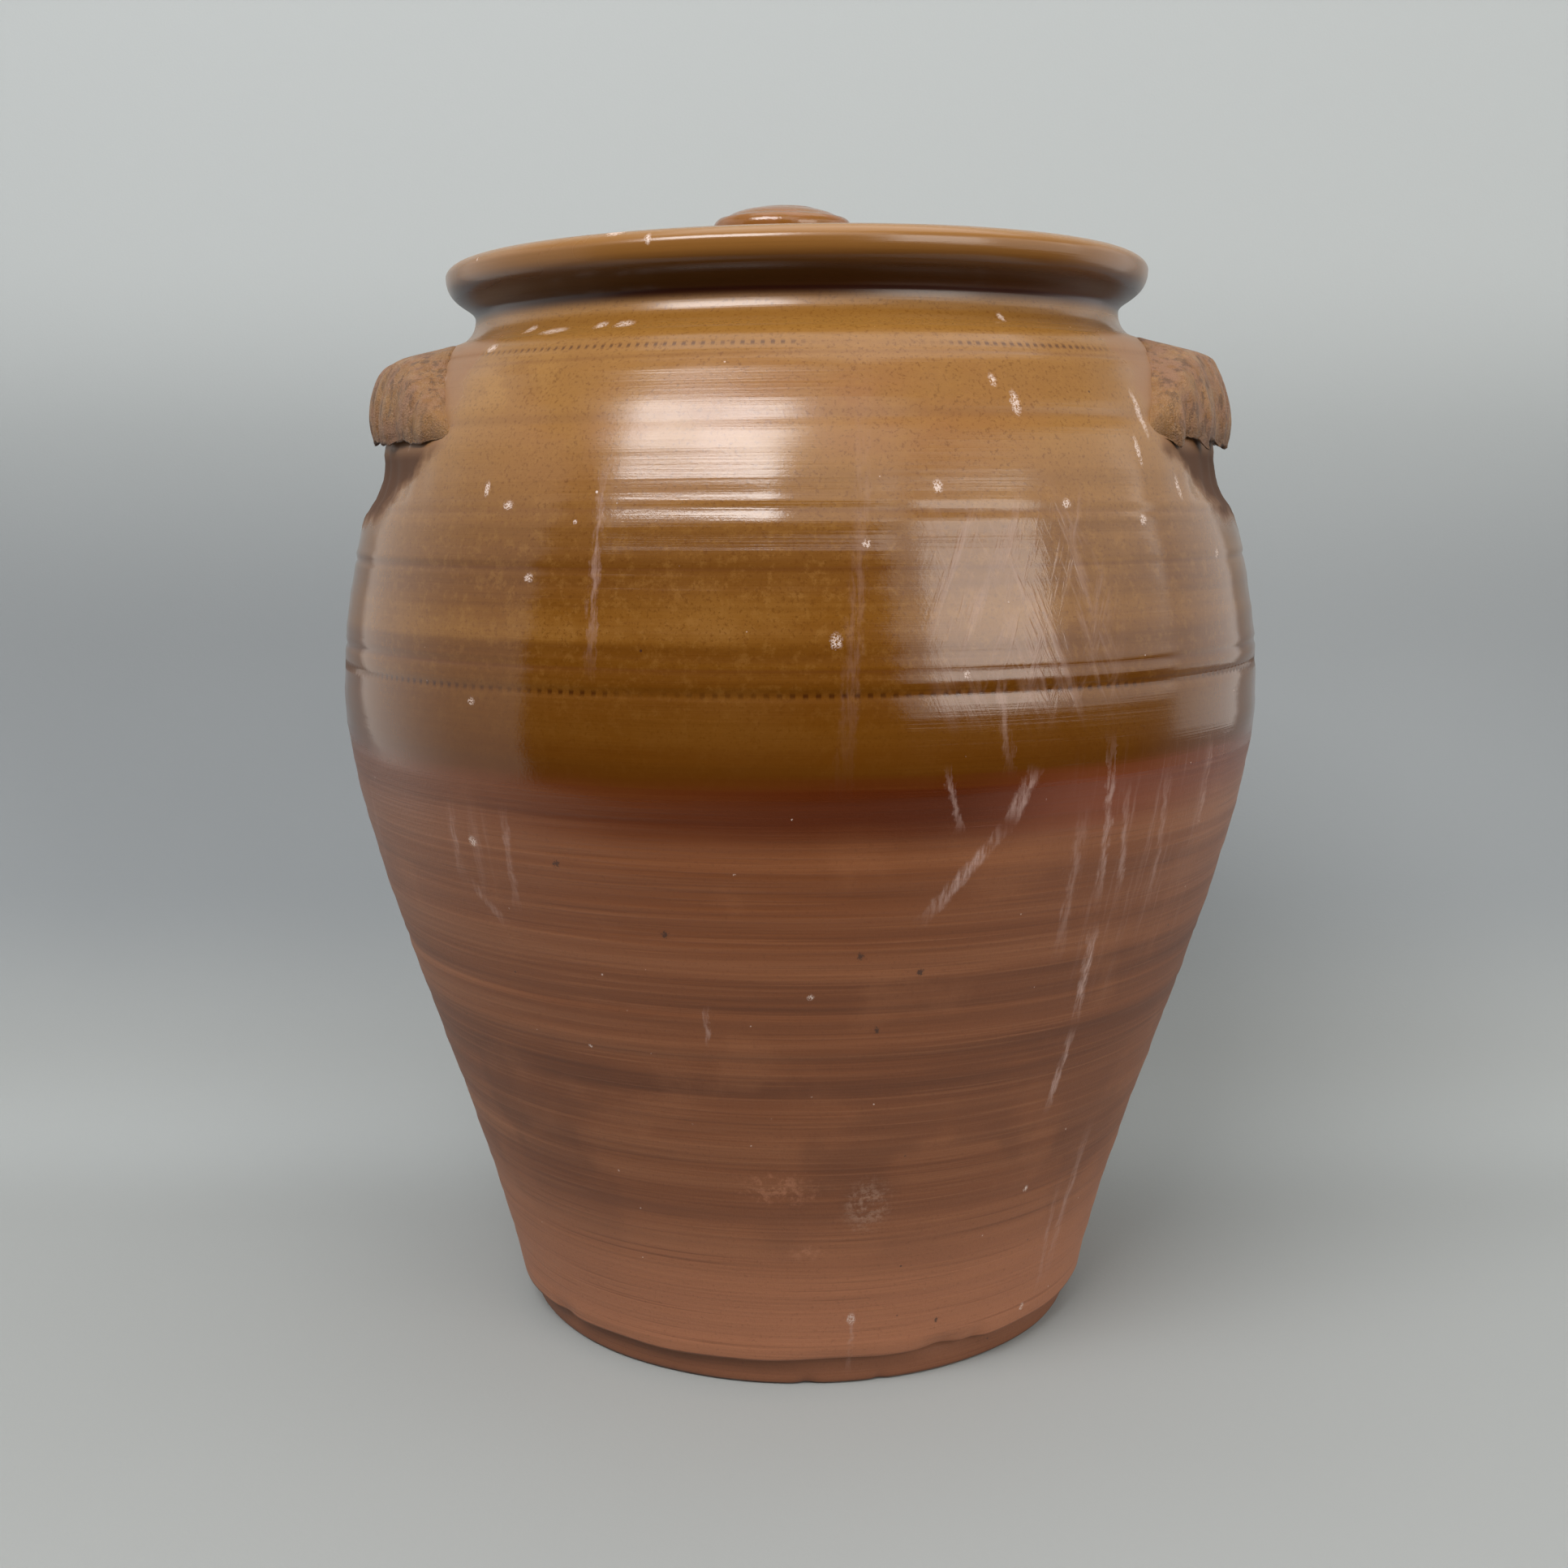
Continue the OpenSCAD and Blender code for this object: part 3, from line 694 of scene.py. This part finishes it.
def wear_marks(n, colour):
    """Lime specks, rubbed streaks and dark grains, at real places and scattered."""
    arc_mm = n.mul(n.az, ARC_R)
    grit = n.noise(n.place, 0.9, 3.0, 0.7)
    crumbs = n.step(n.noise(n.place, 1.9, 2.0, 0.6), 0.40, 0.54)
    flat = n.vector(n.add(arc_mm, n.mul(n.sub(grit, 0.5), 3.0)), n.add(n.z, n.mul(n.sub(crumbs, 0.5), 0.8)), 0.0)

    def join(a, b):
        return b if a is None else n.math("MAXIMUM", a, b)

    # Scattered lime specks of three sizes
    marks = None
    for scale, size, keep, seed in [(0.032, 0.030, 0.70, 0.0), (0.075, 0.042, 0.80, 31.0), (0.16, 0.060, 0.88, 77.0)]:
        dist, rand = n.cells(n.vector(n.add(n.x, seed), n.y, n.z), scale)
        marks = join(marks, n.mul(n.step(dist, size, size * 0.4), n.math("GREATER_THAN", rand, keep)))

    # Chips and dabs at their own places
    for az, h, wide, tall in CHIPS:
        marks = join(marks, n.step(n.far_from(flat, az, h, wide, tall), 1.2, 0.4))
    marks = n.mul(marks, n.mul(crumbs, n.step(grit, 0.34, 0.48)))

    # Rubbed streaks that run down the side
    fray = n.mul(n.sub(n.noise(n.vector(n.mul(arc_mm, 0.3), n.mul(n.z, 0.16), 0.0), 1.0, 4.0, 0.7), 0.5), 6.0)
    frayed = n.vector(n.add(arc_mm, fray), n.z, 0.0)
    scuffs = None
    for *line, strength in SCRAPES:
        scuffs = join(scuffs, n.mul(n.stroke(frayed, *line), strength))
    broken = n.noise(n.vector(n.mul(arc_mm, 0.7), n.mul(n.z, 0.10), 9.0), 1.0, 4.0, 0.7)
    scuffs = n.mul(scuffs, n.step(broken, 0.34, 0.62))

    # A rubbed patch of fine upright streaks on the right of the lower belly, and a fainter one on the left
    comb = n.step(n.noise(n.vector(n.mul(arc_mm, 0.30), n.mul(n.z, 0.012), 2.0), 1.0, 5.0, 0.75), 0.50, 0.74)
    for az, wide, low, high, share in [(0.80, 0.36, 128.0, 224.0, 0.55), (-0.66, 0.17, 158.0, 207.0, 0.35)]:
        patch = n.mul(n.bump_at(n.az, az, wide), n.mul(n.step(n.z, low, low + 45), n.step(n.z, high + 4, high - 22)))
        scuffs = join(scuffs, n.mul(n.mul(patch, comb), share))

    # Dark grains in the bare clay
    dist, rand = n.cells(n.vector(n.x, n.y, n.add(n.z, 200.0)), 0.09)
    grains = n.mul(n.step(dist, 0.050, 0.02), n.math("GREATER_THAN", rand, 0.84))
    for az, h in GRAINS:
        grains = join(grains, n.step(n.far_from(flat, az, h, 1.3, 1.3), 1.0, 0.4))

    # Spalled patches near the foot show rough orange clay, and a pale smudge lies beside them
    torn = n.step(n.noise(n.place, 0.35, 5.0, 0.75), 0.44, 0.60)
    for az, h, wide, tall, tone in SPALLS:
        inside = n.step(n.add(n.far_from(flat, az, h, wide, tall), n.mul(n.sub(grit, 0.5), 1.2)), 1.1, 0.3)
        colour = n.mix(n.mul(n.mul(inside, torn), 0.5), colour, tone)

    colour = n.mix(n.mul(grains, 0.8), colour, SOOT)
    colour = n.mix(n.math("MULTIPLY", scuffs, 0.80, clamp=True), colour, LIME_SCUFF)
    colour = n.mix(n.mul(marks, 0.85), colour, LIME)
    return colour, marks, scuffs


# Radius at which places round the jar are turned into millimetres for the marks
ARC_R = 150.0
# Azimuth in degrees from the viewer, height, half width and half height of each dab, in mm
CHIPS = [
    (-38.0, 349.5, 7.0, 1.2), (-30.0, 350.5, 3.0, 1.2), (-26.0, 350.5, 4.5, 1.2), (32.0, 352.0, 1.6, 1.6),
    (15.0, 299.0, 1.6, 2.0), (3.7, 256.0, 1.6, 2.4), (-37.8, 299.0, 1.2, 2.4), (-34.0, 294.0, 2.0, 1.4),
    (-29.8, 273.0, 1.6, 1.4), (7.0, 283.0, 1.2, 1.3), (26.3, 324.0, 1.8, 4.0), (30.5, 294.0, 1.5, 1.5),
    (-36.8, 236.0, 1.2, 1.2), (42.0, 289.0, 1.5, 1.8), (51.2, 299.0, 1.3, 4.0), (57.7, 278.0, 1.3, 1.6),
    (8.8, 28.0, 2.0, 2.4), (37.8, 69.0, 1.2, 1.3), (46.0, 17.0, 1.6, 1.6), (-39.0, 192.0, 1.8, 1.8),
    (1.2, 149.0, 1.2, 1.0), (17.0, 246.0, 1.1, 1.1), (24.0, 331.0, 1.4, 2.0), (-56.0, 330.0, 1.6, 7.0),
    (-58.0, 318.0, 1.4, 6.0), (-48.0, 345.0, 3.0, 1.4), (-62.0, 340.0, 2.0, 3.0), (47.0, 322.0, 1.6, 8.0),
    (44.0, 310.0, 1.2, 5.0), (-45.0, 351.0, 3.0, 1.4), (-21.0, 374.5, 1.4, 1.8), (-27.0, 377.4, 4.0, 1.2),
]
# Azimuth and height of each end of a scrape, its half width in mm and its strength
SCRAPES = [
    (-21.8, 313.0, -21.5, 241.0, 1.8, 0.40), (25.0, 219.0, 22.2, 200.0, 3.0, 0.75), (22.6, 203.0, 12.8, 170.0, 2.6, 0.85),
    (34.2, 229.0, 36.5, 165.0, 2.0, 0.75), (36.5, 168.0, 38.0, 128.0, 2.4, 1.0), (38.0, 131.0, 37.2, 96.0, 2.2, 1.0),
    (14.8, 221.0, 16.8, 198.0, 1.6, 0.55), (31.5, 210.0, 31.8, 150.0, 2.6, 0.40), (37.2, 214.0, 40.0, 165.0, 1.8, 0.55),
    (43.8, 219.0, 46.5, 160.0, 1.8, 0.50), (53.0, 222.0, 53.8, 186.0, 1.5, 0.60), (-41.5, 206.0, -42.8, 176.0, 2.0, 0.45),
    (-42.0, 180.0, -36.0, 164.0, 2.2, 0.45), (-33.2, 207.0, -34.2, 168.0, 1.8, 0.42), (-11.0, 146.0, -11.3, 130.0, 1.2, 0.55),
    (8.8, 34.0, 9.2, 2.0, 1.3, 0.45), (50.0, 92.0, 52.0, 20.0, 3.4, 0.45), (46.0, 70.0, 50.5, 16.0, 2.2, 0.35),
    (8.0, 340.0, 4.0, 205.0, 3.2, 0.13), (20.0, 252.0, 22.0, 214.0, 2.2, 0.30), (-62.0, 206.0, -67.0, 165.0, 2.0, 0.35),
]
# Azimuth and height of dark grains
GRAINS = [(-27.2, 188.0), (-15.0, 168.0), (13.8, 156.0), (6.8, 162.0), (9.2, 137.0), (25.0, 23.0)]
# Spalls and a smudge: azimuth, height, half width, half height and tone
SPALLS = [
    (-3.0, 80.0, 19.0, 7.0, (0.360, 0.150, 0.078)), (1.0, 55.0, 8.0, 3.5, (0.380, 0.160, 0.084)),
    (10.0, 73.0, 11.0, 11.0, (0.330, 0.200, 0.140)),
]


def jar_material():
    n = Nodes("amber_glazed_earthenware").level()
    colour, cover, sheen, relief = body_colours(n)
    lugs = lug_stain_and_shade_area(n)
    hollow = n.mul(lugs, n.step(n.z, 316.0, 308.0))
    colour = n.mix(n.mul(lugs, 0.65), colour, LUG_PINK)
    # Painted shade in the finger hollow under each lug
    colour = n.mix(n.mul(hollow, 0.92), colour, LUG_SHADE)
    area, strokes = film_and_painted_reflection(n)
    clouded_and_painted_reflection = n.mul(n.mul(area, strokes), cover)
    # The pale tint is partly a cloudy layer on the glaze and partly a painted reflection of the window on the right
    colour = n.mix(n.mul(clouded_and_painted_reflection, 0.20), colour, LIME_SCUFF)
    colour, marks, scuffs = wear_marks(n, colour)
    smear = n.noise(n.place, 0.02, 4.0, 0.6)
    gloss = n.blend(n.step(smear, 0.42, 0.66), 0.09, 0.17)
    gloss = n.add(gloss, n.mul(n.step(n.z, 290.0, 318.0), 0.11))
    gloss = n.blend(clouded_and_painted_reflection, gloss, 0.24)
    gloss = n.blend(n.mul(n.step(n.z, 354.0, 358.0), n.step(n.z, 368.0, 364.0)), gloss, 0.30)
    rough = n.blend(sheen, 0.58, gloss)
    rough = n.blend(n.math("MAXIMUM", marks, n.mul(scuffs, 0.6)), rough, 0.65)
    rough = n.blend(n.mul(lugs, 0.7), rough, 0.45)
    rough = n.blend(hollow, rough, 0.90)
    relief = n.add(relief, n.mul(n.mul(area, strokes), 0.35))
    return n.finish(colour, rough, relief, 0.16, 1.52)


def lug_stain_and_shade_area(n):
    """Where the lugs' pale clay has been smeared on the wall, whose lower part also carries the painted shade of the
    hollow under each lug: 1 at a lug, 0 away from it.
    """
    side = n.math("ABSOLUTE", n.x)
    turn = n.math("ARCTAN2", n.math("ABSOLUTE", n.y), side)
    ragged = n.mul(n.sub(n.noise(n.place, 0.12, 3.0, 0.6), 0.5), 0.16)
    narrow = n.mul(n.step(n.z, 318.0, 288.0), math.radians(13))
    across = n.step(n.add(n.add(turn, ragged), narrow), math.radians(LUG_HALF + 2), math.radians(LUG_HALF - 4))
    up = n.mul(n.step(n.add(n.z, n.mul(ragged, 60.0)), 284.0, 293.0), n.step(n.z, 353.0, 345.0))
    return n.mul(across, up)


def lug_material():
    n = Nodes("lug_clay_thin_glaze").level()
    colour, cover, sheen, relief = body_colours(n)
    side = n.math("ABSOLUTE", n.x)
    turn = n.math("ARCTAN2", n.math("ABSOLUTE", n.y), side)
    reach = n.step(turn, math.radians(LUG_HALF), math.radians(LUG_HALF - 7))
    blotch = n.noise(n.place, 0.09, 4.0, 0.6)
    clay = n.mix(n.mul(n.step(blotch, 0.42, 0.62), 0.7), LUG_PINK, OCHRE)
    clay = n.mix(n.mul(n.step(n.noise(n.place, 0.25, 4.0, 0.65), 0.48, 0.64), 0.7), clay, AMBER)
    clay = n.mix(n.mul(n.step(n.noise(n.vector(n.x, n.y, n.mul(n.z, 0.4)), 0.35, 4.0, 0.7), 0.50, 0.62), 0.6), clay, LUG_SHADE)
    face = n.mix(reach, colour, clay)
    # Darker on the lower part of the lug's face and its lip: painted shade
    face = n.mix(n.mul(n.step(n.z, 322.0, 311.0), 0.55), face, LUG_SHADE)
    dist, rand = n.cells(n.place, 0.13)
    specks = n.mul(n.step(dist, 0.11, 0.05), n.math("GREATER_THAN", rand, 0.72))
    specks = n.mul(specks, n.step(n.noise(n.place, 1.9, 2.0, 0.6), 0.42, 0.54))
    face = n.mix(n.mul(specks, 0.85), face, LIME)
    rough = n.blend(n.step(blotch, 0.45, 0.6), 0.50, 0.32)
    grain = n.add(n.mul(n.noise(n.place, 0.4, 5.0, 0.75), 1.0), n.mul(n.noise(n.place, 1.6, 2.0), 0.3))
    return n.finish(face, rough, grain, 1.0, 1.5)


def lid_material(name, top_colour):
    n = Nodes(name)
    rings = n.noise(n.vector(n.mul(n.r, 0.35), 0.0, n.mul(n.z, 0.1)), 1.0, 3.0, 0.6)
    mottle = n.noise(n.place, 0.05, 4.0, 0.6)
    colour = n.mix(n.step(n.add(n.mul(rings, 0.5), n.mul(mottle, 0.5)), 0.38, 0.62), AMBER, top_colour)
    colour = n.mix(n.mul(n.step(n.noise(n.place, 0.9, 3.0, 0.7), 0.62, 0.72), 0.4), colour, AMBER_DEEP)
    dist, rand = n.cells(n.place, 0.12)
    specks = n.mul(n.step(dist, 0.10, 0.05), n.math("GREATER_THAN", rand, 0.82))
    colour = n.mix(specks, colour, LIME)
    bare = n.step(n.z, SEAT_H + 1.5, SEAT_H + 0.2)
    colour = n.mix(bare, colour, CLAY)
    rough = n.blend(bare, n.blend(n.step(mottle, 0.4, 0.65), 0.07, 0.14), 0.6)
    relief = n.add(n.mul(rings, 0.5), n.mul(n.noise(n.place, 0.8, 3.0), 0.3))
    return n.finish(colour, rough, relief, 0.3, 1.52)


# Stage: a pale sweep behind and below the jar, and soft lamps in a dim room

# The floor lies this far below the foot, in metres, so that the two never share a face
FLOOR_GAP = 0.0003
# How bright the room behind the paper looks
BACKDROP_GLOW = 0.36
PAPER_FLOOR = (0.278, 0.290, 0.286)
PAPER_LOW = (0.196, 0.211, 0.221)
PAPER_HIGH = (0.408, 0.436, 0.442)


def make_stage():
    wide, front, back, curve, tall = 0.60, -0.34, 0.42, 0.34, 1.1
    path = [(front, 0.0), (-0.1, 0.0), (back - curve, 0.0)]
    steps = 24
    for i in range(1, steps + 1):
        a = math.pi / 2 * i / steps
        path.append((back - curve + curve * math.sin(a), curve - curve * math.cos(a)))
    path.append((back, tall))
    verts = []
    for y, z in path:
        verts += [(-wide, y, z - FLOOR_GAP), (wide, y, z - FLOOR_GAP)]
    faces = [(2 * i, 2 * i + 1, 2 * i + 3, 2 * i + 2) for i in range(len(path) - 1)]
    mesh = bpy.data.meshes.new("sweep")
    mesh.from_pydata(verts, [], faces)
    mesh.polygons.foreach_set("use_smooth", [True] * len(faces))
    n = Nodes("pale_paper")
    # The paper is painted darker low on the backdrop and lighter high up and along the bend: painted shade and painted
    # light
    colour = n.mix(n.step(n.z, 2.0, 90.0), PAPER_FLOOR, PAPER_LOW)
    colour = n.mix(n.step(n.z, 205.0, 450.0), colour, PAPER_HIGH)
    colour = n.mix(n.mul(n.bump_at(n.y, 130.0, 90.0), 0.25), colour, PAPER_HIGH)
    colour = n.mix(n.mul(n.noise(n.place, 0.003, 2.0, 0.5), 0.2), colour, PAPER_HIGH)
    paper = n.finish(colour, 0.8, n.noise(n.place, 0.8, 3.0), 0.05, 1.3)
    # From behind and below the sweep is seen through, so that it never hides the jar
    clear = n.tree.nodes.new("ShaderNodeBsdfTransparent")
    either = n.tree.nodes.new("ShaderNodeMixShader")
    facing = n.tree.nodes.new("ShaderNodeNewGeometry")
    n.tree.links.new(facing.outputs["Backfacing"], either.inputs[0])
    n.tree.links.new(n.shader.outputs[0], either.inputs[1])
    n.tree.links.new(clear.outputs[0], either.inputs[2])
    n.tree.links.new(either.outputs[0], n.out.inputs[0])
    mesh.materials.append(paper)
    sweep = bpy.data.objects.new("sweep", mesh)
    bpy.context.scene.collection.objects.link(sweep)


def area_light(name, elevation, azimuth, distance, width, height, glow, colour):
    """A soft lamp of that radiance, seen from the jar at that elevation and azimuth from the viewer, in degrees."""
    data = bpy.data.lights.new(name, "AREA")
    data.shape = "RECTANGLE"
    data.size, data.size_y = width, height
    data.energy = glow * math.pi * width * height
    data.color = colour
    lamp = bpy.data.objects.new(name, data)
    e, a = math.radians(elevation), math.radians(azimuth)
    away = Vector((math.sin(a) * math.cos(e), -math.cos(a) * math.cos(e), math.sin(e)))
    lamp.location = Vector((0, 0, 0.25)) + away * distance
    lamp.rotation_euler = away.to_track_quat("Z", "Y").to_euler()
    bpy.context.scene.collection.objects.link(lamp)


def make_light():
    area_light("window_high", 45, -28, 1.9, 1.20, 0.68, 12.5, (1.0, 0.98, 0.97))
    area_light("window_glow", 46, -14, 2.0, 2.6, 1.20, 1.4, (1.0, 0.97, 0.95))
    area_light("window_right", 15, 44, 1.8, 0.95, 0.85, 3.6, (1.0, 0.95, 0.88))
    area_light("wall_right", 18, 60, 1.9, 2.9, 1.45, 1.25, (1.0, 0.95, 0.88))
    area_light("far_right", 12, 118, 1.8, 1.5, 1.4, 0.7, (1.0, 0.97, 0.92))
    area_light("wall_left", 6, -105, 1.7, 2.8, 2.4, 0.62, (1.0, 0.93, 0.84))
    area_light("overhead", 80, 150, 1.8, 1.6, 1.6, 1.3, (1.0, 1.0, 1.0))
    world = bpy.data.worlds.new("room")
    world.use_nodes = True
    tree = world.node_tree
    coord = tree.nodes.new("ShaderNodeTexCoord")
    split = tree.nodes.new("ShaderNodeSeparateXYZ")
    tree.links.new(coord.outputs["Generated"], split.inputs[0])
    ramp = tree.nodes.new("ShaderNodeMapRange")
    ramp.interpolation_type = "SMOOTHSTEP"
    tree.links.new(split.outputs[2], ramp.inputs["Value"])
    ramp.inputs["From Min"].default_value = -0.1
    ramp.inputs["From Max"].default_value = 0.9
    ramp.inputs["To Min"].default_value = 0.03
    ramp.inputs["To Max"].default_value = 0.35
    # The camera sees a pale room all round, and reflections see it on the backdrop's side
    seen = tree.nodes.new("ShaderNodeLightPath")
    behind = tree.nodes.new("ShaderNodeMapRange")
    tree.links.new(split.outputs[1], behind.inputs["Value"])
    behind.inputs["From Min"].default_value = 0.0
    behind.inputs["From Max"].default_value = 0.4
    mirrored = tree.nodes.new("ShaderNodeMath")
    mirrored.operation = "MULTIPLY"
    tree.links.new(seen.outputs["Is Glossy Ray"], mirrored.inputs[0])
    tree.links.new(behind.outputs[0], mirrored.inputs[1])
    share = mirrored.outputs[0]
    for name in ("Is Camera Ray", "Is Transmission Ray"):
        either = tree.nodes.new("ShaderNodeMath")
        either.operation = "MAXIMUM"
        tree.links.new(share, either.inputs[0])
        tree.links.new(seen.outputs[name], either.inputs[1])
        share = either.outputs[0]
    pale = tree.nodes.new("ShaderNodeMix")
    tree.links.new(share, pale.inputs[0])
    tree.links.new(ramp.outputs[0], pale.inputs[2])
    pale.inputs[3].default_value = BACKDROP_GLOW
    tree.nodes["Background"].inputs[0].default_value = (0.93, 0.97, 1.0, 1)
    tree.links.new(pale.outputs[0], tree.nodes["Background"].inputs[1])
    bpy.context.scene.world = world


make_camera()
make_stage()
make_light()
lug_clay = lug_material()
make_jar(jar_material())
LEFT_LOBES = [(0, 22, -2.5, 0), (-36, 2.5, 2.5, 0.3), (-25, 3, 1.5, 0.4), (-12, 3, 1.5, 0.4), (1, 3, 1, 0.3),
              (14, 3, 1.5, 0.4), (27, 3, 1.5, 0.3), (36, 2.5, 1.5, 0)]
RIGHT_LOBES = [(-39.5, 1.5, 3.5, 0.3), (-36.5, 1.3, 8.5, 1.8), (-28.5, 1.6, 4.5, 1.6), (-21, 2.5, 2.5, 0.8), (-9, 3, 2, 0.5),
               (4, 2.5, 2.5, 0.6), (16, 3, 1.5, 0.4), (28, 2.5, 2.5, 0.5)]
make_lug("left_lug", -1, LEFT_LOBES, 0.5, 0.0, 5, lug_clay)
make_lug("right_lug", 1, RIGHT_LOBES, 1.5, 1.3, 8, lug_clay)
make_lid(lid_material("lid_glaze_amber", OCHRE))
make_knob(lid_material("knob_glaze_orange", PINK_GLAZE))

scene = bpy.context.scene
scene.view_settings.view_transform = "Standard"
